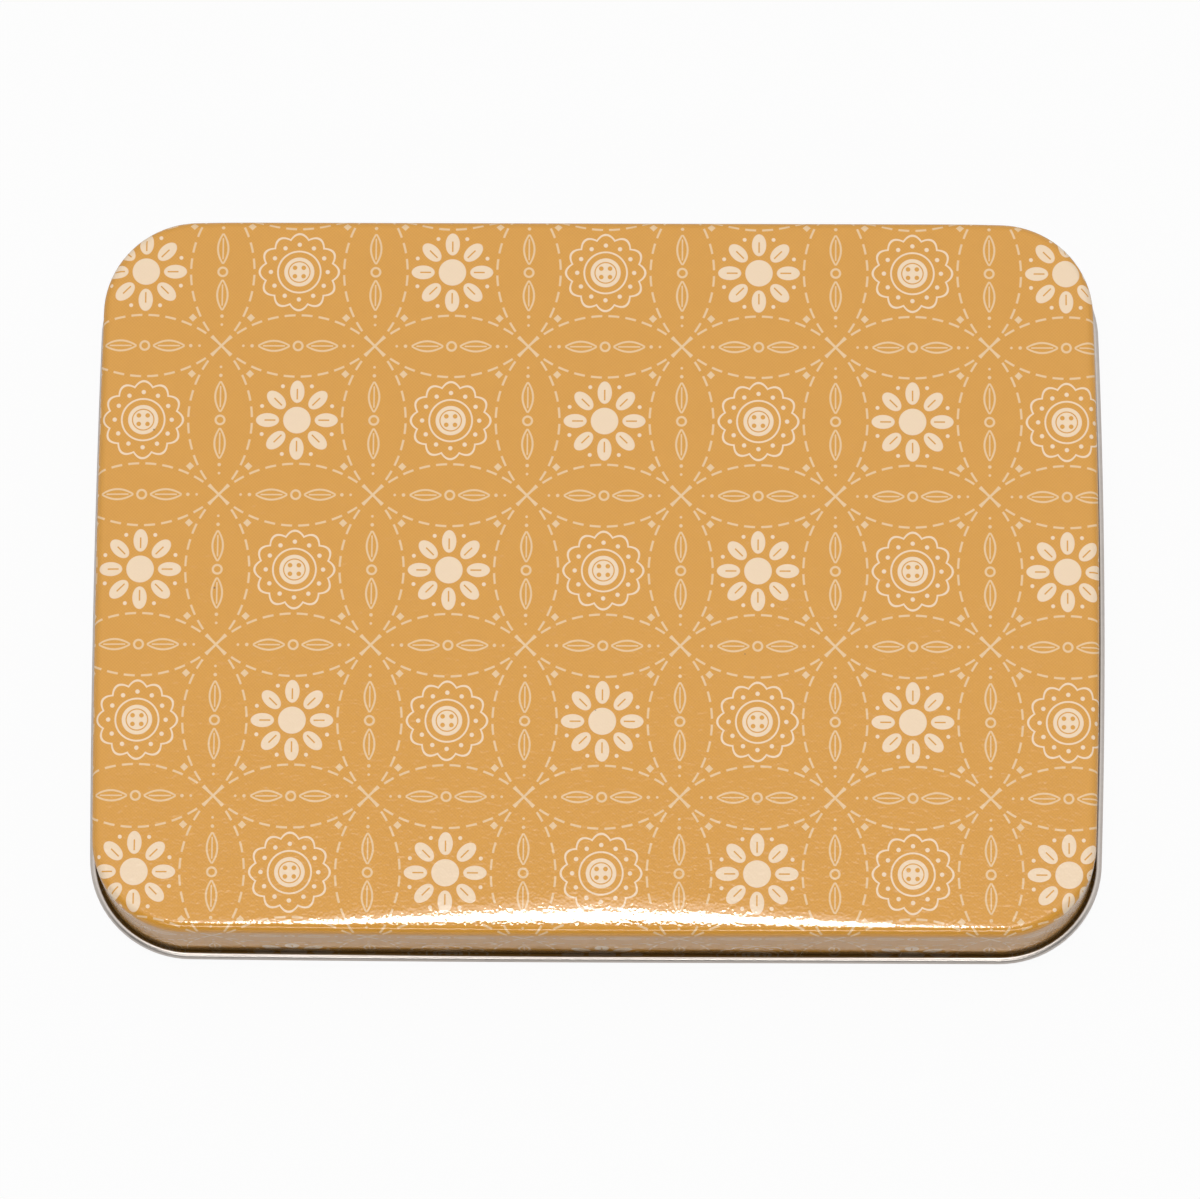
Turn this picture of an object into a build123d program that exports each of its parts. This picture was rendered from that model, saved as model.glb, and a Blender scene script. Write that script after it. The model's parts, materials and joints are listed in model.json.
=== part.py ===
from build123d import *
from math import cos, radians, sin
import os

# A hinged storage tin pressed from thin tinplate: a shallow tray, a lid that covers nearly
# all of it, and two short lengths of wire that join them along the back.
#
# Frame: X across the width, Y from the front (-Y) to the hinged back (+Y), Z up.
# The origin is the middle of the tin's outline, on the surface that it stands on.
# All sizes are in millimetres and all angles in degrees.

# --- the sheet -----------------------------------------------------------------------
sheet = 0.3                  # thickness of the tinplate

# --- the lid -------------------------------------------------------------------------
lid_width = 182.0            # across the outside of the skirt
lid_depth = 133.0            # front to back over the skirt
lid_height = 19.1            # top face to the underside of the bead
lid_corner = 17.2            # outer radius of the corners, seen from above
lid_edge_radius = 1.8        # outer radius where the top turns down into the skirt
bead_radius = 0.95           # outer radius of the hollow bead along the skirt's edge
bead_curl = 275.0            # how far the edge is rolled round to make the bead

# --- the tray ------------------------------------------------------------------------
tin_height = 25.0            # standing surface to the top of the closed lid
side_gap = 0.5               # tray wall to lid skirt, left and right
rear_gap = 0.6               # the same at the back
swing_clearance = 0.3        # least gap at the front while the lid swings past the rim
rim_drop = 0.9               # top of the rim to the underside of the lid
rim_radius = 0.95            # outer radius of the rolled rim
rim_curl = 285.0             # how far the rim is rolled inwards
bottom_radius = 2.5          # outer radius where the wall turns into the bottom
foot_width = 4.0             # flat ring round the bottom that the tin stands on
floor_lift = 0.7             # how far the bottom panel is pressed up above the foot
floor_step_angle = 60.0      # steepness of the step between the foot and the panel

# --- the two hinges ------------------------------------------------------------------
hinge_spacing = 90.0         # between the middles of the two hinges
tab_width = 12.0             # tongue of the tray that is rolled round the wire
tab_curl = 300.0             # how far the tongue is rolled
tab_bend = 0.3               # inner radius where the tongue leaves the wall
slot_side_gap = 0.2          # cut beside the tongue, each side
wire_radius = 0.6            # hinge wire
wire_clearance = 0.05        # wire to the inside of the bead and of the tongue
wire_grip = 8.0              # length of wire inside the bead at each end
notch_gap = 0.4              # lid to tongue, at the sides and above

# --- where the pieces meet -----------------------------------------------------------
skirt_side = lid_width / 2 - sheet           # inner face of the skirt, from the middle
skirt_rear = lid_depth / 2 - sheet
lid_bottom = tin_height - lid_height
axis_y = skirt_rear + bead_radius            # the hinge axis is the rear bead's middle
axis_z = lid_bottom + bead_radius
knuckle_bore = wire_radius + wire_clearance
knuckle_radius = knuckle_bore + sheet
rim_top = tin_height - sheet - rim_drop

# The front edge of the lid swings inwards by about overlap squared over twice the depth
# before it clears the rim, so the tray stands that much further back.
lid_overlap = rim_top - axis_z
front_gap = lid_overlap**2 / (2 * lid_depth) + swing_clearance

tray_side = skirt_side - side_gap            # outer faces of the tray's walls
tray_rear = skirt_rear - rear_gap
tray_front = front_gap - skirt_rear
tray_corner = lid_corner - sheet - side_gap

# The floor's step is two equal bends, one up and one level again.
step_radius = (floor_lift / (1 - cos(radians(floor_step_angle))) + sheet) / 2
step_run = (2 * step_radius - sheet) * sin(radians(floor_step_angle))


def bent_strip(x, z, outer_radius, start, sweep):
    # A bent stretch of sheet in section, round the point x, z.
    outer = CenterArc((x, z), outer_radius, start, sweep)
    inner = CenterArc((x, z), outer_radius - sheet, start, sweep)
    ends = [Line(outer @ 0, inner @ 0), Line(outer @ 1, inner @ 1)]
    return make_face([outer, inner] + ends)


def flat_strip(low_x, low_z, high_x, high_z):
    # A straight stretch of sheet in section, or any other upright rectangle.
    middle = Pos((low_x + high_x) / 2, (low_z + high_z) / 2)
    return middle * Rectangle(high_x - low_x, high_z - low_z)


def carry_round(section, side, front, rear, corner):
    # Carries a section round a rounded rectangle. The section's x is the distance out
    # from the middle of a corner, and its y is the height.
    upright = Plane.XZ * section
    bend = revolve(upright, Axis.Z, 90)
    corner_x = side - corner
    centres = [
        Vector(corner_x, front + corner),
        Vector(corner_x, rear - corner),
        Vector(-corner_x, rear - corner),
        Vector(-corner_x, front + corner),
    ]
    ring = None
    for quarter in range(4):
        start = centres[quarter]
        end = centres[(quarter + 1) % 4]
        turned = Rot(0, 0, 90 * quarter)
        run = extrude(upright, (end - start).length, dir=(0, 1, 0))
        stretch = Pos(start) * turned * run + Pos(end) * turned * bend
        ring = stretch if ring is None else ring + stretch
    return ring


def block(low, high):
    # A box between two opposite corners.
    size = Vector(high) - Vector(low)
    return Pos((Vector(low) + Vector(high)) / 2) * Box(size.X, size.Y, size.Z)


def hinge_places():
    # The middle of each hinge along X, by the name of its side.
    return {"left": -hinge_spacing / 2, "right": hinge_spacing / 2}


def lid_shell():
    # Top edge, skirt and hollow bead, from the top down.
    edge_x = lid_corner - lid_edge_radius
    edge_z = tin_height - lid_edge_radius
    section = bent_strip(edge_x, edge_z, lid_edge_radius, 0, 90)
    section += flat_strip(lid_corner - sheet, axis_z, lid_corner, edge_z)
    section += bent_strip(lid_corner - sheet + bead_radius, axis_z, bead_radius, 180, bead_curl)
    lid = carry_round(section, lid_width / 2, -lid_depth / 2, lid_depth / 2, lid_corner)
    panel = RectangleRounded(lid_width - 2 * lid_edge_radius, lid_depth - 2 * lid_edge_radius, edge_x)
    lid += Pos(0, 0, tin_height - sheet) * extrude(panel, sheet)
    # The bead and the foot of the skirt are cut away round each tongue.
    half_notch = tab_width / 2 + notch_gap
    notch_top = axis_z + knuckle_radius + notch_gap
    for middle in hinge_places().values():
        low = (middle - half_notch, skirt_rear - sheet, lid_bottom - sheet)
        high = (middle + half_notch, axis_y + bead_radius + sheet, notch_top)
        lid -= block(low, high)
    return lid


def hinge_tab(middle):
    # The tongue turns out of the wall, runs over the wire and is rolled down round it.
    run_low = axis_z + knuckle_bore
    bend_y = tray_rear + tab_bend
    bend_z = run_low - tab_bend
    section = bent_strip(bend_y, bend_z, tab_bend + sheet, 90, 90)
    section += flat_strip(bend_y, run_low, axis_y, run_low + sheet)
    section += bent_strip(axis_y, axis_z, knuckle_radius, 90, -tab_curl)
    tab = extrude(Plane.YZ * section, tab_width)
    return Pos(middle - tab_width / 2, 0, 0) * tab


def hinge_slot(middle):
    # The hole that the tongue is bent out of: as high as the flat tongue was long.
    root = axis_z + knuckle_bore - tab_bend
    bend_length = radians(90) * (tab_bend + sheet / 2)
    curl_length = radians(tab_curl) * (knuckle_bore + sheet / 2)
    flat_length = bend_length + (axis_y - tray_rear - tab_bend) + curl_length
    half_slot = tab_width / 2 + slot_side_gap
    low = (middle - half_slot, tray_rear - 2 * sheet, root)
    high = (middle + half_slot, tray_rear + sheet, root + flat_length)
    return block(low, high)


def base_tray():
    # Rolled rim, wall, bottom edge, foot and step, from the top down.
    rim_x = tray_corner - rim_radius
    rim_z = rim_top - rim_radius
    edge_x = tray_corner - bottom_radius
    foot_x = edge_x - foot_width
    panel_x = foot_x - step_run
    section = bent_strip(rim_x, rim_z, rim_radius, 0, rim_curl)
    section += flat_strip(tray_corner - sheet, bottom_radius, tray_corner, rim_z)
    section += bent_strip(edge_x, bottom_radius, bottom_radius, 270, 90)
    section += flat_strip(foot_x, 0, edge_x, sheet)
    section += bent_strip(foot_x, step_radius, step_radius, 270, -floor_step_angle)
    level_z = floor_lift + sheet - step_radius
    section += bent_strip(panel_x, level_z, step_radius, 90, -floor_step_angle)
    tray = carry_round(section, tray_side, tray_front, tray_rear, tray_corner)
    inset = tray_corner - panel_x
    panel = RectangleRounded(2 * (tray_side - inset), tray_rear - tray_front - 2 * inset, panel_x)
    tray += Pos(0, (tray_front + tray_rear) / 2, floor_lift) * extrude(panel, sheet)
    for middle in hinge_places().values():
        tray -= hinge_slot(middle)
        tray += hinge_tab(middle)
    return tray


def hinge_pin(middle):
    # A straight length of wire through the tongue and into the bead on both sides.
    length = tab_width + 2 * notch_gap + 2 * wire_grip
    return Pos(middle, axis_y, axis_z) * Rot(0, 90, 0) * Cylinder(wire_radius, length)


parts = {"base_tray": base_tray(), "lid_shell": lid_shell()}
for side_name, hinge_middle in hinge_places().items():
    parts["hinge_pin_" + side_name] = hinge_pin(hinge_middle)

os.makedirs("parts", exist_ok=True)
for node, shape in parts.items():
    export_step(shape, "parts/" + node + ".step")
print("hinge axis y", round(axis_y, 3), "z", round(axis_z, 3), "front gap", round(front_gap, 3))
print("tray", tray_side, round(tray_front, 3), tray_rear, "rim top", rim_top)
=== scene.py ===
import json

import bpy
import numpy as np
from mathutils import Matrix, Vector


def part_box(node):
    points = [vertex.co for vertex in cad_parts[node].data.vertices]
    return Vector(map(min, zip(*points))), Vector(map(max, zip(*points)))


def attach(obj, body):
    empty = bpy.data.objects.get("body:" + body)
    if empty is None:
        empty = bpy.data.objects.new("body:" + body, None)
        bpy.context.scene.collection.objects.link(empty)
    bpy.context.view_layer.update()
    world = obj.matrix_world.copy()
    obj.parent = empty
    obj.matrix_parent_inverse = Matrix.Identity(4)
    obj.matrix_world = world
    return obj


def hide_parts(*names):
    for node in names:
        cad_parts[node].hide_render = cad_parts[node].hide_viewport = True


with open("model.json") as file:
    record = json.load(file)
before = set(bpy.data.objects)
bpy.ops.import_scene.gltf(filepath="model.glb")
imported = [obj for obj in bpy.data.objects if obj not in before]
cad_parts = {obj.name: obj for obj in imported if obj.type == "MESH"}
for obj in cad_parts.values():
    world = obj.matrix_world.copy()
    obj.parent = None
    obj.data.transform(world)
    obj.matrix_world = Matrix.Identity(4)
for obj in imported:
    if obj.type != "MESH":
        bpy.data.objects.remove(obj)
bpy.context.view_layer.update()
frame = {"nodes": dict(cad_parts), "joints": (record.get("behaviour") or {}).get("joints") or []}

# A hinged sewing tin. The CAD model gives the outlines and the hinge; the lid and the tray
# are rebuilt here as pressed sheets whose print and grain follow the flat metal.
# Lengths are in metres and angles in degrees.
_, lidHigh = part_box("lid_shell")
trayLow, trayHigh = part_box("base_tray")
hinge = frame["joints"][0]
hingeY, hingeZ = hinge["pos_m"][1], hinge["pos_m"][2]
wireLow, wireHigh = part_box("hinge_pin_right")
hingeX = (wireLow.x + wireHigh.x) / 2
wireRadius = (wireHigh.z - wireLow.z) / 2

sheetThickness = 0.0003
wireRoom = 0.00005           # between a hinge wire and what it lies in
straightPast = 0.008         # how far past each hinge the back stays straight
nearEnough = 1e-6            # lengths that differ by less are the same
facing = 0.999               # a column that faces this much one way belongs to that side
# How far the middle of each side stands out from its two ends: right, back, left and front.
bulges = ((0.0008, 0.0008), (0.0002, 0.0002), (0.00045, 0.00045), (0.0003, 0.0))


def outlinePath(half, low, high, corner, places, cornerSteps, hold):
    # The path that a pressed section is carried along: for each column, the middle of its
    # corner, or its foot on a side, and the outward direction. The four sides run
    # anticlockwise from the right. Each side bulges: a point on it lies inside its middle by
    # its bulge times the square of the share of the way from hold to its end. That share,
    # squared, is the column's weight, which is 1 all round a corner.
    corners = np.array([[half - corner, low + corner], [half - corner, high - corner],
                        [corner - half, high - corner], [corner - half, low + corner]])
    feet, outwards, weights = [], [], []
    for side in range(4):
        start, end = corners[side], corners[(side + 1) % 4]
        length = np.linalg.norm(end - start)
        along = (end - start) / length
        normal = np.array([along[1], -along[0]])
        run = places[side] + length / 2
        share = np.clip((abs(places[side]) - hold[side]) / (length / 2 - hold[side]), 0, 1) ** 2
        before, after = bulges[side - 1][1], bulges[(side + 1) % 4][0]
        farEnd = places[side][:, None] > 0
        inwards = np.where(farEnd, *bulges[side][::-1]) * normal
        inwards = np.where(farEnd, after, -before) * along + inwards
        foot = start + run[:, None] * along - share[:, None] * inwards
        feet.append(foot)
        outwards.append(np.tile(normal, (len(run), 1)))
        weights.append(share)
        turn = np.radians(90) * np.arange(1, cornerSteps) / cornerSteps
        bend = np.cos(turn)[:, None] * normal + np.sin(turn)[:, None] * along
        feet.append(np.tile(end - bulges[side][1] * normal - after * along, (len(turn), 1)))
        outwards.append(bend)
        weights.append(np.ones(len(turn)))
    return np.concatenate(feet), np.concatenate(outwards), np.concatenate(weights)


def arcPoints(centreX, centreZ, radius, start, end, steps):
    # Points on a circle in the section, from one angle to another.
    angle = np.radians(np.linspace(start, end, steps + 1))
    return np.stack([centreX + radius * np.cos(angle), centreZ + radius * np.sin(angle)], 1)


def pathLength(points):
    # How far along the path each of its points lies: the sum of the steps up to it.
    return np.concatenate([[0], np.cumsum(np.linalg.norm(np.diff(points, axis=0), axis=1))])


def bandQuads(ids, turned):
    # The faces between neighbouring rows and columns of numbered points.
    quads = np.stack([ids[:-1, :-1], ids[1:, :-1], ids[1:, 1:], ids[:-1, 1:]], -1)
    return quads[..., ::-1] if turned else quads


sharpAngle = 38              # edges that turn by more than this stay sharp


def closeSheet(name, outside, inside, flat, quads, materials, fold=None):
    # Two skins a sheet's thickness apart, joined round every free edge. An edge is free
    # where no other face of the skin runs along it the other way. The outside skin takes
    # the first material, and the inside skin and the cut edges take the second. fold says
    # how deep in a fold each point of the outside skin lies, then the same for the inside.
    used, quads = np.unique(quads, return_inverse=True)
    quads = quads.reshape(-1, 4)
    outside, inside, flat = outside[used], inside[used], flat[used]
    count = len(used)
    heads, tails = quads.ravel(), np.roll(quads, -1, axis=1).ravel()
    free = ~np.isin(heads * count + tails, tails * count + heads) & (heads != tails)
    heads, tails = heads[free], tails[free]
    rims = np.stack([tails, heads, heads + count, tails + count], 1)
    faces = np.concatenate([quads, quads[:, ::-1] + count, rims])
    finish = np.repeat([0, 1, 1], [len(quads), len(quads), len(rims)])
    # A face with a doubled corner, at the middle of a panel, is a triangle.
    doubled = faces == np.roll(faces, -1, axis=1)
    loops = faces[~doubled]
    sizes = 4 - doubled.sum(1)
    mesh = bpy.data.meshes.new(name)
    points = np.concatenate([outside, inside]).astype(np.float32)
    mesh.vertices.add(len(points))
    mesh.vertices.foreach_set("co", points.ravel())
    mesh.loops.add(len(loops))
    mesh.loops.foreach_set("vertex_index", loops)
    mesh.polygons.add(len(faces))
    mesh.polygons.foreach_set("loop_start", np.cumsum(sizes) - sizes)
    mesh.polygons.foreach_set("material_index", finish)
    mesh.update(calc_edges=True)
    unrolled = mesh.uv_layers.new(name="flatSheet")
    places = np.concatenate([flat, flat])[loops]
    unrolled.uv.foreach_set("vector", places.astype(np.float32).ravel())
    # The fold attribute is the mask by which the finishes paint shade into the groove.
    if fold is not None:
        depths = np.concatenate([side[used] for side in fold])
        deep = mesh.attributes.new("fold", "FLOAT", "POINT")
        deep.data.foreach_set("value", depths.astype(np.float32))
    mesh.polygons.foreach_set("use_smooth", np.ones(len(faces), bool))
    mesh.set_sharp_from_angle(angle=np.radians(sharpAngle))
    mesh.validate()
    for material in materials:
        mesh.materials.append(material)
    piece = bpy.data.objects.new(name, mesh)
    bpy.context.scene.collection.objects.link(piece)
    return piece


def onPath(feet, outwards, out, height):
    # Puts a section's points, given as distance out and height, on every column of a path.
    # Single values serve all columns.
    out, height = np.broadcast_arrays(out, height)
    out = np.broadcast_to(out, (len(feet), out.shape[-1]))
    height = np.broadcast_to(height, out.shape)
    across = feet[:, None] + outwards[:, None] * out[..., None]
    return np.concatenate([across, height[..., None]], -1)


def flatOnPath(feet, outwards, reach):
    # The same points on the sheet before it was pressed: each column's foot plus its outward
    # direction times how far out along the sheet the point lies.
    reach = np.broadcast_to(reach, (len(feet), reach.shape[-1]))
    return feet[:, None] + outwards[:, None] * reach[..., None]


def spread(low, high, count, extra=()):
    # Even places from low to high, with the extra ones in place of any that lie within a
    # third of a step of them.
    extra = np.array(extra, float)
    even = np.linspace(low, high, count)
    if len(extra):
        crowd = (high - low) / count / 3
        ends = (even == low) | (even == high)
        even = even[ends | (abs(even[:, None] - extra).min(1) > crowd)]
    return np.sort(np.concatenate([even, extra]))


def hingeEdges(reach):
    # Both edges of something that reaches this far each side of each hinge's middle.
    return [-hingeX - reach, -hingeX + reach, hingeX - reach, hingeX + reach]


def hingeColumns(feet, outwards, reach):
    # True for each column of faces along the back that lies within reach of a hinge.
    middles = (feet + np.roll(feet, -1, axis=0)) / 2
    behind = (outwards[:, 1] > facing) & (np.roll(outwards, -1, axis=0)[:, 1] > facing)
    return behind & (abs(abs(middles[:, 0]) - hingeX) < reach)


lidShape = {
    "corner": 0.0172,        # outer radius of the corners, seen from above
    "edgeRadius": 0.0018,    # outer radius where the top turns down
    "edgeTilt": 14.4,        # slope of the top where it meets that edge, mid-front
    "sideTilt": 0.4,         # share of that slope at the other three sides
    "tiltFade": 0.35,        # how fast that slope fades towards the corners
    "rollOff": 0.0070,       # how far in from the edge the top starts to slope, mid-side
    "rollFade": 2.6,         # how fast that reach fades towards the corners
    "beadRadius": 0.00095,   # outer radius of the rolled edge
    "beadCurl": 275,         # how far it is rolled round
    "notchReach": 0.0064,    # half the width of the cut for each hinge
    "notchGap": 0.0004,      # room above the hinge in that cut
    "cornerFold": 0.6,       # how much less painted shade the free edge of the bead gets in the corners
    "sideColumns": 30,       # columns of faces along each side
    "cornerSteps": 20,       # and round each corner
    "edgeSteps": 13,         # rows of faces round the top edge
    "skirtSteps": 4,         # down the skirt as far as the cuts
    "beadSteps": 26,         # and round the bead
    # How far in from the edge the rings of points on the top lie, in millimetres.
    "rings": (0.0, 0.2, 0.4, 0.7, 1.0, 1.4, 1.9, 2.4, 3.0, 3.7, 4.5, 5.5, 6.6, 8.0,
              10.0, 14.0, 24.0, 42.0),
}


def buildLid(materials):
    # The lid, from the middle of its top outwards: a panel, a rounded edge, the skirt, and a
    # bead rolled outwards from the skirt's foot, all carried round the outline.
    s = lidShape
    top, thick = lidHigh.z, sheetThickness
    corner, edge, bead = s["corner"], s["edgeRadius"], s["beadRadius"]
    half = lidHigh.x - 2 * bead + thick
    deep = hingeY - bead + thick
    acrossHalf, alongHalf = half - corner, deep - corner
    side = spread(-alongHalf, alongHalf, s["sideColumns"])
    front = spread(-acrossHalf, acrossHalf, s["sideColumns"])
    rear = spread(-acrossHalf, acrossHalf, s["sideColumns"], hingeEdges(s["notchReach"]))
    hold = [0, hingeX + s["notchReach"] + straightPast, 0, 0]
    feet, outwards, weights = outlinePath(half, -deep, deep, corner, [side, rear, side, front],
                                          s["cornerSteps"], hold)

    # The top falls away towards its edge, most at the middle of each side and not at all in
    # the corners: the drop grows with the cube of the way from the start of the slope.
    inward = (1 - weights)[:, None]
    onFront = outwards[:, 1:] < -facing
    tilt = np.radians(s["edgeTilt"]) * inward ** s["tiltFade"] * np.where(onFront, 1, s["sideTilt"])
    reach = s["rollOff"] * inward ** s["rollFade"] + s["edgeRadius"] / 2
    drop = reach * np.tan(tilt) / 3
    rim = corner - edge + edge * np.sin(tilt)
    edgeLine = feet + outwards * rim
    inset = np.array(s["rings"]) / 1000
    share = np.concatenate([[0.0], 1 - inset[::-1] / (deep - edge)])
    across = edgeLine[:, None] * share[:, None]
    away = (1 - share) * (edgeLine * outwards).sum(1)[:, None]
    height = top - drop * np.clip(1 - away / reach, 0, 1) ** 3
    panel = np.concatenate([across, height[..., None]], -1)
    panelUnder = panel - [0, 0, thick]

    # The pressed edge, the skirt and the bead.
    turn = tilt + (np.pi / 2 - tilt) * np.linspace(0, 1, s["edgeSteps"] + 1)[1:]
    centre = top - drop - edge * np.cos(tilt)
    notchTop = hingeZ + wireRadius + wireRoom + thick + s["notchGap"]
    skirt = centre + (notchTop - centre) * np.linspace(0, 1, s["skirtSteps"] + 1)[1:]
    skirt = np.concatenate([skirt, np.full((len(feet), 1), hingeZ)], 1)
    roll = np.radians(180 + np.linspace(0, s["beadCurl"], s["beadSteps"] + 1)[1:])
    beadX = corner - thick + bead

    def skin(edgeTurn, skirtX, beadTurn):
        # One side of the sheet: a quarter turn, straight down, then round the bead.
        out = [corner - edge + edgeTurn * np.sin(turn), np.full(skirt.shape, skirtX),
               np.tile(beadX + beadTurn * np.cos(roll), (len(feet), 1))]
        high = [centre + edgeTurn * np.cos(turn), skirt,
                np.tile(hingeZ + beadTurn * np.sin(roll), (len(feet), 1))]
        return onPath(feet, outwards, np.concatenate(out, 1), np.concatenate(high, 1))

    outside = np.concatenate([panel, skin(edge, corner, bead - thick)], 1)
    inside = np.concatenate([panelUnder, skin(edge - thick, corner - thick, bead)], 1)

    # On the flat sheet, what is pressed down lies beyond the top by its length.
    bent = corner - edge + edge * turn
    hung = bent[:, -1:] + centre - skirt
    rolled = hung[:, -1:] + (bead - thick / 2) * (roll - np.pi)
    pressed = flatOnPath(feet, outwards, np.concatenate([bent, hung, rolled], 1))
    flat = np.concatenate([across, pressed], 1)

    # Painted shade for the groove above the bead: it deepens down the skirt, outside, and
    # starts again at the free edge of the bead, inside, where it's widest in the middle of
    # each side.
    columns, rows = outside.shape[:2]
    fold = np.zeros((2, columns, rows))
    skirtFoot = rows - len(roll) - 1
    fold[0, :, skirtFoot - s["skirtSteps"]:skirtFoot] = np.linspace(0, 1, s["skirtSteps"])
    fold[0, :, skirtFoot:] = 1
    fold[1, :, -1] = 1
    fold[1, :, -2] = 1 - s["cornerFold"] * weights
    ids = np.arange(columns * rows).reshape(columns, rows)
    ids[:, 0] = 0
    quads = bandQuads(np.concatenate([ids, ids[:1]]), turned=True)
    notchRow = skirtFoot - 1
    keep = np.ones(quads.shape[:2], bool)
    keep[hingeColumns(feet, outwards, s["notchReach"]), notchRow:] = False
    return closeSheet("printed_lid", outside.reshape(-1, 3), inside.reshape(-1, 3),
                      flat.reshape(-1, 2), quads[keep], materials, fold.reshape(2, -1))


trayShape = {
    "corner": 0.0164,        # outer radius of the corners, seen from above
    "rearGap": 0.0006,       # back wall to the lid's skirt
    "rimRadius": 0.00095,    # outer radius of the rolled rim
    "rimCurl": 285,          # how far it is rolled round
    "bottomRadius": 0.0025,  # outer radius where the wall turns under
    "footWidth": 0.004,      # flat ring that the tin stands on
    "floorLift": 0.0007,     # how far the bottom panel is pressed up
    "stepAngle": 60,         # steepness of the step up to it
    "tabReach": 0.006,       # half the width of each hinge tongue
    "slotReach": 0.0062,     # half the width of the hole it is bent out of
    "tabBend": 0.0003,       # inner radius where it leaves the wall
    "tabCurl": 300,          # how far its end is rolled round the wire
    "sideColumns": 26,       # columns of faces along each side
    "cornerSteps": 20,       # and round each corner
    "floorRings": 6,         # rows of faces across the bottom panel
    "stepSteps": 5,          # round each bend of its step
    "footSteps": 3,          # across the foot
    "bottomSteps": 9,        # round the bottom edge
    "wallSteps": 3,          # up the wall below, beside and above the slots
    "rimSteps": 24,          # round the rim
    "tabBendSteps": 6,       # round the bend of a tongue
    "tabCurlSteps": 26,      # and round its curl
}


def buildTray(materials):
    # The tray, from the middle of its bottom outwards: a raised panel, a step, the foot, the
    # bottom edge, the wall and a rim rolled inwards, carried round the outline, then the two
    # tongues, which are bent out of slots in the back wall.
    s = trayShape
    thick, corner, rim, bottom = sheetThickness, s["corner"], s["rimRadius"], s["bottomRadius"]
    back = hingeY - lidShape["beadRadius"] - s["rearGap"]
    knuckle = wireRadius + wireRoom
    root = hingeZ + knuckle - s["tabBend"]
    runLength = hingeY - back - s["tabBend"]
    tongue = (np.radians(90) * (s["tabBend"] + thick / 2) + runLength
              + np.radians(s["tabCurl"]) * (knuckle + thick / 2))
    acrossHalf = trayHigh.x - corner
    alongHalf = (back - trayLow.y) / 2 - corner
    side = spread(-alongHalf, alongHalf, s["sideColumns"])
    front = spread(-acrossHalf, acrossHalf, s["sideColumns"])
    rear = spread(-acrossHalf, acrossHalf, s["sideColumns"],
                  hingeEdges(s["slotReach"]) + hingeEdges(s["tabReach"]))
    hold = [0, hingeX + s["slotReach"] + straightPast, 0, 0]
    feet, outwards, _ = outlinePath(trayHigh.x, trayLow.y, back, corner, [side, rear, side, front],
                                    s["cornerSteps"], hold)

    # The step is two equal bends, one up and one level again, that together rise by the lift.
    stepRadius = (s["floorLift"] / (1 - np.cos(np.radians(s["stepAngle"]))) + thick) / 2
    stepRun = (2 * stepRadius - thick) * np.sin(np.radians(s["stepAngle"]))
    footX = corner - bottom - s["footWidth"]
    panelX, levelZ = footX - stepRun, s["floorLift"] + thick - stepRadius
    edgeX, rimX, rimZ = corner - bottom, corner - rim, trayHigh.z - rim
    wallEnds = [bottom, root, root + tongue, rimZ]
    wall = [np.linspace(low, high, s["wallSteps"] + 1)[1:] for low, high in zip(wallEnds, wallEnds[1:])]
    wall = np.concatenate(wall)[:-1]
    footRun = np.linspace(footX, edgeX, s["footSteps"] + 1)[1:]

    def skin(highStep, lowStep, footZ, bottomTurn, wallX, rimTurn):
        # One side of the sheet: both bends of the step, the foot, the bottom edge, the wall
        # and the rim.
        return np.concatenate([
            arcPoints(panelX, levelZ, highStep, 90, 90 - s["stepAngle"], s["stepSteps"]),
            arcPoints(footX, stepRadius, lowStep, 270 - s["stepAngle"], 270, s["stepSteps"])[1:],
            np.stack([footRun, np.full(len(footRun), footZ)], 1),
            arcPoints(edgeX, bottom, bottomTurn, 270, 360, s["bottomSteps"])[1:],
            np.stack([np.full(len(wall), wallX), wall], 1),
            arcPoints(rimX, rimZ, rimTurn, 0, s["rimCurl"], s["rimSteps"])])

    under = skin(stepRadius - thick, stepRadius, 0.0, bottom, corner, rim)
    over = skin(stepRadius, stepRadius - thick, thick, bottom - thick, corner - thick, rim - thick)
    outside = onPath(feet, outwards, under[:, 0], under[:, 1])
    inside = onPath(feet, outwards, over[:, 0], over[:, 1])
    middle = np.array([0, (trayLow.y + back) / 2])
    share = np.linspace(0, 1, s["floorRings"] + 1)[:-1]
    panelEdge = outside[:, 0, :2] - middle
    spokes = middle + panelEdge[:, None] * share[:, None]
    level = np.full(spokes.shape[:2] + (1,), s["floorLift"])
    outside = np.concatenate([np.concatenate([spokes, level], -1), outside], 1)
    inside = np.concatenate([np.concatenate([spokes, level + thick], -1), inside], 1)

    # Along the flat sheet, each point lies as far out as the section is long.
    mean = (under + over) / 2
    reach = mean[0, 0] + pathLength(mean)
    flat = np.concatenate([spokes, flatOnPath(feet, outwards, reach)], 1)

    columns, rows = outside.shape[:2]
    ids = np.arange(columns * rows).reshape(columns, rows)
    ids[:, 0] = 0
    quads = bandQuads(np.concatenate([ids, ids[:1]]), turned=False)
    wallStart = len(share) + 2 * s["stepSteps"] + 1 + s["footSteps"] + s["bottomSteps"]
    rootRow = wallStart + s["wallSteps"] - 1
    slotRow = rootRow + s["wallSteps"]
    keep = np.ones(quads.shape[:2], bool)
    slots = np.flatnonzero(hingeColumns(feet, outwards, s["slotReach"]))
    keep[slots, rootRow:slotRow] = False

    outside, inside, flat = (a.reshape(-1, a.shape[-1]) for a in (outside, inside, flat))
    quads = quads[keep]

    # Each tongue goes on from the wall's own edge: a bend, a short run, then round the wire.
    bendY = back + s["tabBend"]

    def tabSkin(bendTurn, curlTurn):
        return np.concatenate([
            arcPoints(bendY, root, bendTurn, 180, 90, s["tabBendSteps"])[1:],
            arcPoints(hingeY, hingeZ, curlTurn, 90, 90 - s["tabCurl"], s["tabCurlSteps"])])

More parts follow.
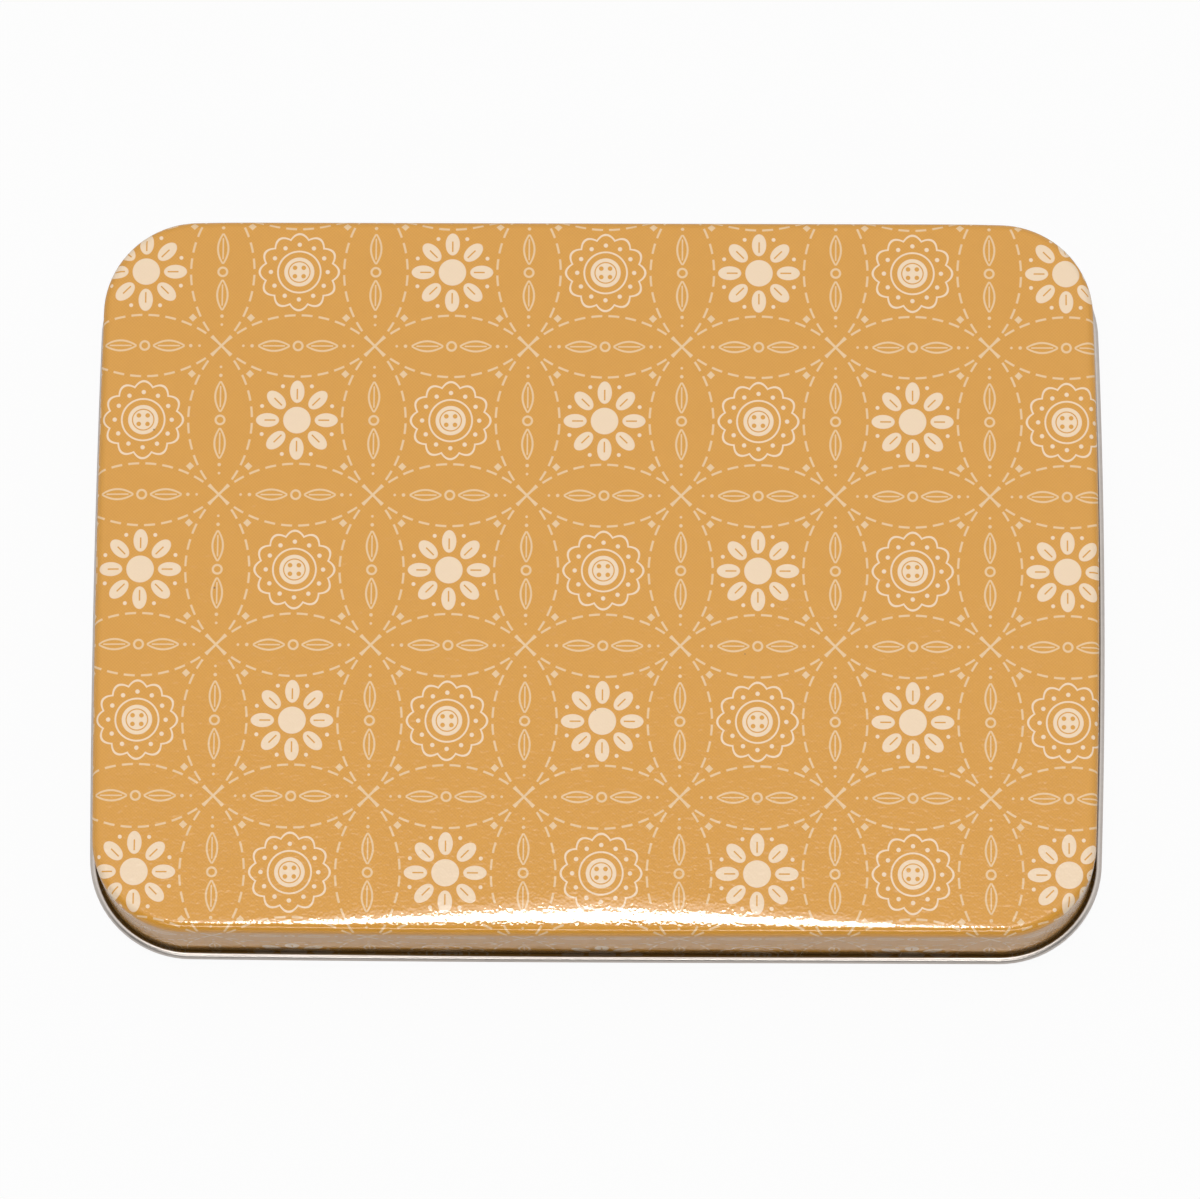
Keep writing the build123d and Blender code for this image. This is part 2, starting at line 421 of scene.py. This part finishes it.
    topSkin = tabSkin(s["tabBend"], knuckle)
    lowSkin = tabSkin(s["tabBend"] + thick, knuckle + thick)
    run = pathLength(topSkin)
    for sign in (-1, 1):
        near = abs(feet[:, 0] - sign * hingeX) < s["tabReach"] + nearEnough
        picked = np.flatnonzero(near & (outwards[:, 1] > facing))
        x = np.repeat(feet[picked, 0], len(run))
        newIds = len(outside) + np.arange(len(x)).reshape(len(picked), -1)
        joined = np.concatenate([ids[picked, rootRow][:, None], newIds], 1)
        start = flat[ids[picked[0], rootRow], 1]
        tabFlat = np.stack([x, np.tile(start + run, len(picked))], 1)
        outside = np.concatenate([outside, np.column_stack([x, np.tile(topSkin, (len(picked), 1))])])
        inside = np.concatenate([inside, np.column_stack([x, np.tile(lowSkin, (len(picked), 1))])])
        flat = np.concatenate([flat, tabFlat])
        quads = np.concatenate([quads, bandQuads(joined, turned=False).reshape(-1, 4)])
    return closeSheet("pressed_tray", outside, inside, flat, quads, materials)


class Term:
    # A number in a node tree. Formulas made of terms add the Math nodes that work them out.
    def __init__(self, tree, socket):
        self.tree, self.socket = tree, socket

    def calc(self, operation, *others):
        node = self.tree.nodes.new("ShaderNodeMath")
        node.operation = operation
        for slot, value in zip(node.inputs, (self, *others)):
            if isinstance(value, Term):
                self.tree.links.new(value.socket, slot)
            else:
                slot.default_value = value
        return Term(self.tree, node.outputs[0])

    def __add__(self, other):
        return self.calc("ADD", other)

    def __sub__(self, other):
        return self.calc("SUBTRACT", other)

    def __mul__(self, other):
        return self.calc("MULTIPLY", other)

    def size(self):
        return self.calc("ABSOLUTE")

    def hypot(self, other):
        return (self * self + other * other).calc("SQRT")

    def least(self, other):
        return self.calc("MINIMUM", other)

    def most(self, other):
        return self.calc("MAXIMUM", other)

    def wrap(self, half):
        # Folds onto the stretch from -half to half, over and over.
        return self.calc("WRAP", half, -half)

    def below(self, limit, softness):
        # 1 where the number is under the limit and 0 above it, with a soft step between.
        return (self.calc("SUBTRACT", limit) * (-1 / softness) + 0.5).clamp()

    def clamp(self):
        node = self.tree.nodes.new("ShaderNodeClamp")
        self.tree.links.new(self.socket, node.inputs[0])
        return Term(self.tree, node.outputs[0])


def newGroup(name, inputs, outputs):
    # A shader node group with named sockets; inputs is {name: (kind, value)}.
    group = bpy.data.node_groups.new(name, "ShaderNodeTree")
    for label, (kind, value) in inputs.items():
        socket = group.interface.new_socket(name=label, in_out="INPUT", socket_type="NodeSocket" + kind)
        if value is not None:
            socket.default_value = value
    for label in outputs:
        group.interface.new_socket(name=label, in_out="OUTPUT", socket_type="NodeSocketFloat")
    return group, group.nodes.new("NodeGroupInput"), group.nodes.new("NodeGroupOutput")


def noise(tree, place, scale, detail=2.0, roughness=0.5, stretch=None):
    # Noise of about scale bumps a metre, stretched along the given axes.
    if stretch:
        squeeze = tree.nodes.new("ShaderNodeMapping")
        squeeze.vector_type = "POINT"
        squeeze.inputs["Scale"].default_value = stretch
        tree.links.new(place, squeeze.inputs["Vector"])
        place = squeeze.outputs[0]
    node = tree.nodes.new("ShaderNodeTexNoise")
    node.inputs["Scale"].default_value = scale
    node.inputs["Detail"].default_value = detail
    node.inputs["Roughness"].default_value = roughness
    tree.links.new(place, node.inputs["Vector"])
    return Term(tree, node.outputs["Fac"])


# All of the print's lengths are in millimetres.
printDesign = {
    "cell": 28.0,            # from one motif to the next
    "shift": (1.2, 0.6),     # how far the print lies off the lid's middle
    "edge": 0.09,            # width of the soft edge of each printed line
    "line": 0.2,             # half the width of a drawn line
    "thin": 0.13,            # half the width of a vein
    "stitch": 1.0,           # half the length of a running stitch
    "stitches": 5,           # stitches in an eighth of a ring
    "button": 2.75,          # radius of the button
    "holes": (0.8, 0.42),    # its holes: how far off its middle lines, and their radius
    "groove": (1.95, 0.11),  # its groove: radius, and half its width
    "scallops": 12,          # round the rosette
    "scallop": (6.3, 0.95),  # least radius, and how far they stand out
    "rosetteRing": 3.9,      # radius of the ring round the button
    "rosetteDots": (5.2, 0.4),
    "petals": 8,             # round the daisy
    "petal": (5.35, 2.1, 1.3),  # its middle, half its length and half its width
    "vein": (4.9, 1.0),      # its middle, and half its length
    "eye": 2.5,              # radius of the daisy's eye
    "daisyDots": (6.9, 0.36),
    "leaf": (4.4, 2.9, 0.95),   # its middle, half its length and half its width
    "rib": 2.0,              # half the length of the line down its middle
    "bead": 0.8,             # radius of the ring between two leaves
    "trail": ((8.4, 0.32), (10.0, 0.24)),  # dots beyond a leaf: place and radius
    "cross": 2.3,            # how far each arm of the cross reaches
    "diamond": (8.7, 0.75),  # place and reach
    "dotPitch": 0.45,        # from one dot of the printing screen to the next
}


def printGroup():
    # The lid's print, a patchwork of overlapping rings in running stitch. Each ring holds a
    # button on a scalloped rosette or a daisy, turn about, with leaves where rings overlap.
    s = printDesign
    cell, edge, line, thin = s["cell"], s["edge"], s["line"], s["thin"]
    ring = cell / 2**0.5     # rings of this radius all meet at the corners of the cells
    group, start, end = newGroup("stitched print", {"Flat sheet": ("Vector", None)},
                                 ["Motifs", "Lines"])
    apart = group.nodes.new("ShaderNodeSeparateXYZ")
    group.links.new(start.outputs[0], apart.inputs[0])
    x = Term(group, apart.outputs[0]) * 1000 - s["shift"][0]
    y = Term(group, apart.outputs[1]) * 1000 - s["shift"][1]
    cellX, cellY = x.wrap(cell / 2), y.wrap(cell / 2)
    column = ((x + cell / 2) * (1 / cell)).calc("FLOOR")
    row = ((y + cell / 2) * (1 / cell)).calc("FLOOR")
    odd = (column + row).calc("FLOORED_MODULO", 2.0)
    radius = cellX.hypot(cellY)
    angle = cellY.calc("ARCTAN2", cellX)

    def petals(count, turned=0.0):
        # Distance out and sideways within one of count equal sectors.
        inSector = (angle + turned * np.pi / count).wrap(np.pi / count)
        return radius * inSector.calc("COSINE"), (radius * inSector.calc("SINE")).size()

    def dot(across, along, size):
        return across.hypot(along).below(size, edge)

    # The button has four holes and a groove. Round it, the rosette's border swings in and out
    # with the size of the cosine of half its scallops times the angle.
    spot, size = s["holes"]
    holes = dot(cellX.size() - spot, cellY.size() - spot, size)
    groove = (radius - s["groove"][0]).size().below(s["groove"][1], edge)
    button = radius.below(s["button"], edge) - holes.most(groove)
    out, side = petals(s["scallops"])
    least, swing = s["scallop"]
    border = (angle * (s["scallops"] / 2)).calc("COSINE").size() * swing + least
    scallop = (radius - border).size().below(line, edge)
    inner = (radius - s["rosetteRing"]).size().below(line * 0.8, edge)
    spot, size = s["rosetteDots"]
    rosette = button.most(dot(out - spot, side, size)).most(scallop).most(inner)
    # Each petal of the daisy is an ellipse with a vein, and its eye a disc.
    out, side = petals(s["petals"])
    spot, long, wide = s["petal"]
    petal = ((out - spot) * (1 / long)).hypot(side * (1 / wide)).below(1.0, edge / 1.5)
    vein = side.below(thin, edge) * (out - s["vein"][0]).size().below(s["vein"][1], edge)
    between, beside = petals(s["petals"], turned=1.0)
    eye = radius.below(s["eye"], edge)
    spot, size = s["daisyDots"]
    daisy = (petal - vein).most(eye).most(dot(between - spot, beside, size))
    motifs = rosette + (daisy - rosette) * odd

    # Everything else repeats in each eighth of the cell, between its side and its diagonal.
    # The leaf's border is a parabola.
    far, near = cellX.size().most(cellY.size()), cellX.size().least(cellY.size())
    fromSide = (far - cell / 2) * -1
    arm = (far - cell) * -1
    pitch = ring * np.pi / 4 / s["stitches"]
    alongRing = near.calc("ARCTAN2", arm) * ring
    stitch = (alongRing + pitch / 2).wrap(pitch / 2).size().below(s["stitch"], edge)
    stitches = (arm.hypot(near) - ring).size().below(line, edge) * stitch
    spot, long, wide = s["leaf"]
    alongLeaf = near - spot
    leafEdge = (alongLeaf * alongLeaf * (-wide / long**2) + wide) * -1 + fromSide
    leaf = leafEdge.size().below(line * 0.9, edge) * alongLeaf.size().below(long, edge)
    rib = fromSide.below(thin, edge) * alongLeaf.size().below(s["rib"], edge)
    bead = (fromSide.hypot(near) - s["bead"]).size().below(line, edge)
    (spot, size), (farSpot, farSize) = s["trail"]
    trail = dot(fromSide, near - spot, size).most(dot(fromSide, near - farSpot, farSize))
    fromCorner = (near - cell / 2) * -1
    offDiagonal = (fromCorner - fromSide) * 0.7071
    cross = offDiagonal.size().below(line * 1.1, edge) * (fromCorner + fromSide).below(s["cross"], edge)
    spot, size = s["diamond"]
    diamond = ((far - spot).size() + (near - spot).size()).below(size, edge)
    lines = stitches.most(leaf).most(rib).most(bead).most(trail).most(cross).most(diamond)
    group.links.new(motifs.clamp().socket, end.inputs[0])
    group.links.new(lines.clamp().socket, end.inputs[1])
    return group


def screenGroup():
    # The fine dots that a printed tint is made of. The product of two sine waves that cross
    # at a right angle gives dots in rows at 45 degrees to both.
    pitch = printDesign["dotPitch"] / 1000
    group, start, end = newGroup("printing screen", {"Flat sheet": ("Vector", None)}, ["Dots"])
    apart = group.nodes.new("ShaderNodeSeparateXYZ")
    group.links.new(start.outputs[0], apart.inputs[0])
    x, y = Term(group, apart.outputs[0]), Term(group, apart.outputs[1])
    wave = 2**0.5 * np.pi / pitch
    dots = (x * wave).calc("SINE") * (y * wave).calc("SINE") * 0.5 + 0.5
    group.links.new(dots.socket, end.inputs[0])
    return group


sheetMarks = {
    "streaks": 900,          # lines of the rolling grain to a metre, about
    "blotches": 60,          # and so on for each of these
    "smudges": 38,
    "hairlines": 45,
    "hairlinePatches": 30,   # places that hairlines keep to
    "hairline": (0.0012, 0.002),   # half a hairline's width in its noise, and its softness
    "speckCells": 260,       # places that may each hold a speck
    "speckless": 0.985,      # share of those that hold none
    "speck": (0.05, 0.03),   # a speck's reach in its cell, and its softness
}


def grainGroup():
    # The faint lines that rolling leaves in sheet metal: noise drawn out along X.
    inputs = {"Place": ("Vector", None), "Fineness": ("Float", 1.0)}
    group, start, end = newGroup("rolled grain", inputs, ["Tone", "Height"])
    finer = group.nodes.new("ShaderNodeVectorMath")
    finer.operation = "SCALE"
    group.links.new(start.outputs["Place"], finer.inputs[0])
    group.links.new(start.outputs["Fineness"], finer.inputs["Scale"])
    place = finer.outputs[0]
    streaks = noise(group, place, sheetMarks["streaks"], 4.0, 0.6, stretch=(0.04, 1, 1))
    blotches = noise(group, place, sheetMarks["blotches"], 3.0, 0.6)
    group.links.new((streaks * 0.7 + blotches * 0.3).socket, end.inputs["Tone"])
    group.links.new(streaks.socket, end.inputs["Height"])
    return group


def handlingGroup():
    # What a used tin picks up: faint smudges, a few hairline scratches and tiny specks.
    s = sheetMarks
    group, start, end = newGroup("handling", {"Place": ("Vector", None)},
                                 ["Smudge", "Scratch", "Speck"])
    place = start.outputs[0]
    smudge = (noise(group, place, s["smudges"], 4.0, 0.6) - 0.46) * 4.0
    # A hairline follows one level of a noise drawn out along it, where a second noise allows.
    drawn = noise(group, place, s["hairlines"], 1.0, 0.5, stretch=(1.0, 0.12, 1.0))
    allowed = noise(group, place, s["hairlinePatches"], 1.0, 0.5).calc("GREATER_THAN", 0.6)
    scratch = (drawn - 0.5).size().below(*s["hairline"]) * allowed
    cells = group.nodes.new("ShaderNodeTexVoronoi")
    cells.inputs["Scale"].default_value = s["speckCells"]
    group.links.new(place, cells.inputs["Vector"])
    chosen = group.nodes.new("ShaderNodeSeparateColor")
    group.links.new(cells.outputs["Color"], chosen.inputs[0])
    speck = Term(group, cells.outputs["Distance"]).below(*s["speck"])
    speck = speck * Term(group, chosen.outputs[0]).calc("GREATER_THAN", s["speckless"])
    group.links.new(smudge.clamp().socket, end.inputs["Smudge"])
    group.links.new(scratch.clamp().socket, end.inputs["Scratch"])
    group.links.new(speck.clamp().socket, end.inputs["Speck"])
    return group


groups = {
    "print": printGroup(),
    "screen": screenGroup(),
    "grain": grainGroup(),
    "handling": handlingGroup(),
}
print("finishes: node groups made")


def newMaterial(name, settings):
    # A material with a Principled shader whose plain numbers stand on its own sockets.
    material = bpy.data.materials.new(name)
    material.use_nodes = True
    tree = material.node_tree
    shader = tree.nodes["Principled BSDF"]
    for label, value in settings.items():
        shader.inputs[label].default_value = value
    return material, tree, shader


def useGroup(tree, name, place, **numbers):
    # Places a shared group in a material and gives its outputs by name.
    node = tree.nodes.new("ShaderNodeGroup")
    node.node_tree = groups[name]
    tree.links.new(place, node.inputs[0])
    for label, value in numbers.items():
        node.inputs[label].default_value = value
    return {output.name: Term(tree, output) for output in node.outputs}


def onFlatSheet(tree):
    # Where a point lay on the sheet before it was pressed.
    node = tree.nodes.new("ShaderNodeUVMap")
    node.uv_map = "flatSheet"
    return node.outputs[0]


def inFold(tree):
    # How deep in a fold of the sheet a point lies, from 0 to 1: the mask for painted shade.
    # It is 0 on a piece without folds.
    node = tree.nodes.new("ShaderNodeAttribute")
    node.attribute_name = "fold"
    return Term(tree, node.outputs["Fac"])


def blendColors(tree, share, first, second):
    # Mixes two colours, each a socket or four numbers, by a term.
    node = tree.nodes.new("ShaderNodeMix")
    node.data_type = "RGBA"
    tree.links.new(share.socket, node.inputs[0])
    for slot, color in zip((node.inputs[6], node.inputs[7]), (first, second)):
        if isinstance(color, bpy.types.NodeSocket):
            tree.links.new(color, slot)
        else:
            slot.default_value = color
    return node.outputs[2]


def addBump(tree, shader, height, depth):
    # depth is how high a height of 1 stands, in metres.
    node = tree.nodes.new("ShaderNodeBump")
    node.inputs["Distance"].default_value = depth
    tree.links.new(height.socket, node.inputs["Height"])
    tree.links.new(node.outputs[0], shader.inputs["Normal"])


printFinish = {
    "ochreLight": (0.750, 0.355, 0.046, 1),
    "ochreDark": (0.660, 0.301, 0.032, 1),
    "tintDots": 0.6,         # share of the tint between them that is printed dots
    "mottle": 220,           # patches to a metre in the rest of it
    "cream": (0.905, 0.705, 0.495, 1),    # the motifs
    "creamLine": (0.84, 0.59, 0.33, 1),   # the lines, which are thinner ink
    "speck": (0.20, 0.10, 0.04, 1),
    "groove": (0.10, 0.055, 0.020, 1),    # painted shade in the groove above the bead
    "grooveTop": 0.72,       # how deep in the fold the painted shade starts
    "grooveEdge": 5,         # how sharply it starts
    "grooveDark": 0.85,      # and how dark it is
    "grooveRise": 0.3,       # how unevenly it climbs up the skirt
    "grooveWaves": 60,       # and how often to a metre
    "gloss": 0.06,           # roughness of the varnish
    "ripple": 0.000040,      # depth of the varnish's ripple
    "fine": (1900, 0.55),    # its finest waves: how many to a metre, and their share of it
    "middling": (1000, 0.75),
    "broad": (200, 0.6),
}


def printedTinplate():
    # Ink on the sheet under a gloss varnish that ripples a little.
    s = printFinish
    material, tree, shader = newMaterial("printed_tinplate", {"IOR": 1.7, "Metallic": 0.0})
    place = onFlatSheet(tree)
    ink = useGroup(tree, "print", place)
    dots = useGroup(tree, "screen", place)["Dots"]
    marks = useGroup(tree, "handling", place)
    mottle = noise(tree, place, s["mottle"], 3.0, 0.6)
    tint = (dots * s["tintDots"] + mottle * (1 - s["tintDots"])).clamp()
    color = blendColors(tree, tint, s["ochreDark"], s["ochreLight"])
    color = blendColors(tree, ink["Lines"] * 0.96, color, s["creamLine"])
    motif = blendColors(tree, dots * 0.12, s["cream"], s["creamLine"])
    color = blendColors(tree, ink["Motifs"] * 0.98, color, motif)
    color = blendColors(tree, marks["Speck"] * 0.8, color, s["speck"])
    # Painted shade in the groove above the bead: the foot of the skirt and the printed side of
    # the bead's curl are darkened, a little higher in some places.
    climb = (noise(tree, place, s["grooveWaves"], 2.0, 0.6) - 0.5) * s["grooveRise"]
    grooveShade = ((inFold(tree) + climb - s["grooveTop"]) * s["grooveEdge"]).clamp() * s["grooveDark"]
    color = blendColors(tree, grooveShade, color, s["groove"])
    tree.links.new(color, shader.inputs["Base Color"])
    dull = marks["Smudge"] * 0.03 + marks["Scratch"] * 0.1 + grooveShade * 0.2 + s["gloss"]
    tree.links.new(dull.socket, shader.inputs["Roughness"])
    scale, share = s["middling"]
    ripple = noise(tree, place, scale, 1.0, 0.5, stretch=(0.6, 1, 1)) * share
    for scale, share in (s["broad"], s["fine"]):
        ripple = ripple + noise(tree, place, scale, 0.0, 0.5) * share
    addBump(tree, shader, ripple, s["ripple"])
    return material


metalFinish = {
    "bright": (0.86, 0.79, 0.73, 1),      # the two tones of the grain
    "dull": (0.64, 0.585, 0.54, 1),
    "gloss": 0.26,           # least roughness of the bare tinplate
    "grainRough": 0.08,      # how much rougher its dull tone is
    "grainDepth": 0.0000006,  # depth of its rolling lines
    "wire": (0.55, 0.54, 0.53, 1),
    "wireGrain": 0.000002,   # depth of the drawing lines on the wire
}


def bareTinplate():
    # Bare metal with a rolling grain, darkened with painted shade at the free edge of the bead.
    s = metalFinish
    material, tree, shader = newMaterial("bare_tinplate", {"Metallic": 1.0})
    place = onFlatSheet(tree)
    grain = useGroup(tree, "grain", place, Fineness=1.0)
    marks = useGroup(tree, "handling", place)
    color = blendColors(tree, grain["Tone"], s["dull"], s["bright"])
    # Painted shade: where the fold mask says, the bead's free edge takes the groove's dark colour.
    grooveShade = inFold(tree)
    color = blendColors(tree, grooveShade, color, printFinish["groove"])
    tree.links.new(color, shader.inputs["Base Color"])
    dull = grain["Tone"] * -s["grainRough"] + marks["Smudge"] * 0.08 + marks["Scratch"] * 0.1
    dull = dull + (s["gloss"] + s["grainRough"]) + grooveShade * 0.3
    tree.links.new(dull.socket, shader.inputs["Roughness"])
    addBump(tree, shader, grain["Height"], s["grainDepth"])
    return material


def hingeWire():
    # Drawn steel, with the same grain along it, only finer.
    s = metalFinish
    material, tree, shader = newMaterial("hinge_wire", {"Metallic": 1.0, "Base Color": s["wire"]})
    place = tree.nodes.new("ShaderNodeTexCoord").outputs["Object"]
    grain = useGroup(tree, "grain", place, Fineness=2.0)
    color = blendColors(tree, grain["Tone"], s["dull"], s["wire"])
    tree.links.new(color, shader.inputs["Base Color"])
    tree.links.new((grain["Tone"] * 0.2 + 0.2).socket, shader.inputs["Roughness"])
    addBump(tree, shader, grain["Height"], s["wireGrain"])
    return material


printed, bare, wire = printedTinplate(), bareTinplate(), hingeWire()
lid = buildLid([printed, bare])
tray = buildTray([bare, bare])
print("pieces: lid", len(lid.data.polygons), "faces, tray", len(tray.data.polygons), "faces")
for piece, node, body, slot in ((lid, "lid_shell", "lid", "printed_tinplate"),
                                (tray, "base_tray", "tray", "bare_tinplate")):
    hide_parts(node)
    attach(piece, body)
for name in ("hinge_pin_left", "hinge_pin_right"):
    pin = frame["nodes"][name]
    pin.data.materials.clear()
    pin.data.materials.append(wire)


studio = {
    "floorSize": 6.0,
    "floorColor": (0.60, 0.60, 0.60, 1),
    "floorLift": 0.95,       # share of the floor that is plain white to the camera
    "mirrorLift": 0.10,      # and in mirrors, which show more of the tin's shadow
    "boxHeight": 1.2,        # softbox above the table
    "boxBack": -0.046,       # how far back it reaches
    "boxFront": -0.30,       # and how far forward
    "boxSide": -0.02,        # its middle, left or right of the tin's
    "boxWidth": 0.24,
    "boxLight": 18.0,        # its brightness, where 1 is the white of the paper
    # Each pair says where a part of the room ends, as a share of the direction towards it,
    # and how soft its border is.
    "ceiling": 0.87,         # how bright the room is overhead
    "walls": 0.60,           # and low down
    "wallTop": (0.6, 0.6),
    "front": 0.30,           # share of that which is left in front, behind the camera
    "frontStart": (0.3, 0.2),
    "glow": 2.6,             # how much brighter the ceiling is round the softbox
    "glowBack": (0.12, 0.12),
    "glowFront": (0.1, 0.05),
    "glowSide": (0.12, 0.1),
    "strip": 5.0,            # how much brighter a strip across the front is
    "stripHeight": 0.66,     # where it lies, as the sine of its height
    "stripReach": (0.05, 0.03),
    "stripSide": (0.3, 0.1),
    "cameraAzimuth": 4.40,   # towards the right from straight in front
    "cameraElevation": 76.31,
    "cameraRoll": -4.08,
    "cameraDistance": 1.5385,
    "cameraAim": (0.00063, -0.00480),   # the point on the lid that it looks at
    "cameraLens": 255.07,    # in millimetres
}


def makeFloor():
    # A sheet of white paper: part of it is plain white to the camera, and the rest is lit and
    # takes the tin's shadow.
    s = studio
    side = s["floorSize"] / 2
    mesh = bpy.data.meshes.new("floor")
    corners = [(-side, -side, 0), (side, -side, 0), (side, side, 0), (-side, side, 0)]
    mesh.from_pydata(corners, [], [(0, 1, 2, 3)])
    floor = bpy.data.objects.new("floor", mesh)
    bpy.context.scene.collection.objects.link(floor)
    settings = {"Base Color": s["floorColor"], "Roughness": 0.9}
    material, tree, shader = newMaterial("floor_paper", settings)
    seen = tree.nodes.new("ShaderNodeLightPath")
    glossy, passing, direct = (Term(tree, seen.outputs[kind]) for kind in
                               ("Is Glossy Ray", "Is Transmission Ray", "Is Camera Ray"))
    lift = (direct * s["floorLift"]).most(glossy.most(passing) * s["mirrorLift"])
    white = tree.nodes.new("ShaderNodeEmission")
    mixed = tree.nodes.new("ShaderNodeMixShader")
    tree.links.new(lift.socket, mixed.inputs[0])
    tree.links.new(shader.outputs[0], mixed.inputs[1])
    tree.links.new(white.outputs[0], mixed.inputs[2])
    tree.links.new(mixed.outputs[0], tree.nodes["Material Output"].inputs["Surface"])
    mesh.materials.append(material)


def makeLights():
    # The softbox. A flat lamp gives off pi times its brightness from each square metre.
    s = studio
    length = s["boxBack"] - s["boxFront"]
    data = bpy.data.lights.new("softbox", "AREA")
    data.shape = "RECTANGLE"
    data.size, data.size_y = s["boxWidth"], length
    data.energy = np.pi * s["boxLight"] * s["boxWidth"] * length
    lamp = bpy.data.objects.new("softbox", data)
    lamp.location = (s["boxSide"], (s["boxBack"] + s["boxFront"]) / 2, s["boxHeight"])
    bpy.context.scene.collection.objects.link(lamp)

    # The room: a pale ceiling that glows round the softbox, dimmer walls, darker still in
    # front, and a bright strip there.
    world = bpy.data.worlds.new("room")
    bpy.context.scene.world = world
    world.use_nodes = True
    tree = world.node_tree
    apart = tree.nodes.new("ShaderNodeSeparateXYZ")
    tree.links.new(tree.nodes.new("ShaderNodeTexCoord").outputs["Generated"], apart.inputs[0])
    across, back, rise = (Term(tree, output) for output in apart.outputs)
    across, forward = across.size(), back * -1
    behind = forward.below(*s["frontStart"])
    room = rise.below(*s["wallTop"]) * (s["walls"] - s["ceiling"]) + s["ceiling"]
    room = room * (behind * (1 - s["front"]) + s["front"])
    strip = (rise - s["stripHeight"]).size().below(*s["stripReach"]) * across.below(*s["stripSide"])
    strip = strip * (behind * -1 + 1) * s["strip"]
    glow = back.below(*s["glowBack"]) * forward.below(*s["glowFront"])
    glow = glow * across.below(*s["glowSide"]) * s["glow"]
    tree.nodes["Background"].inputs["Color"].default_value = (1, 1, 1, 1)
    tree.links.new((room + strip + glow).socket, tree.nodes["Background"].inputs["Strength"])


def makeCamera():
    # It stands back from a point on the lid, in the direction of its azimuth and elevation, and
    # is rolled about that direction.
    s = studio
    azimuth, elevation, roll = (np.radians(s["camera" + k]) for k in ("Azimuth", "Elevation", "Roll"))
    level = np.cos(elevation)
    back = Vector((np.sin(azimuth) * level, -np.cos(azimuth) * level, np.sin(elevation)))
    right = Vector((0, 0, 1)).cross(back).normalized()
    up = back.cross(right)
    right, up = right * np.cos(roll) + up * np.sin(roll), up * np.cos(roll) - right * np.sin(roll)
    data = bpy.data.cameras.new("camera")
    data.lens, data.sensor_width = s["cameraLens"], 36
    data.clip_start, data.clip_end = 0.05, 50
    camera = bpy.data.objects.new("camera", data)
    place = Vector((*s["cameraAim"], lidHigh.z)) + back * s["cameraDistance"]
    camera.matrix_world = Matrix.Translation(place) @ Matrix((right, up, back)).transposed().to_4x4()
    bpy.context.scene.collection.objects.link(camera)
    bpy.context.scene.camera = camera


makeFloor()
makeLights()
makeCamera()
bpy.context.scene.view_settings.view_transform = "Standard"
print("studio: floor, lights and camera made")
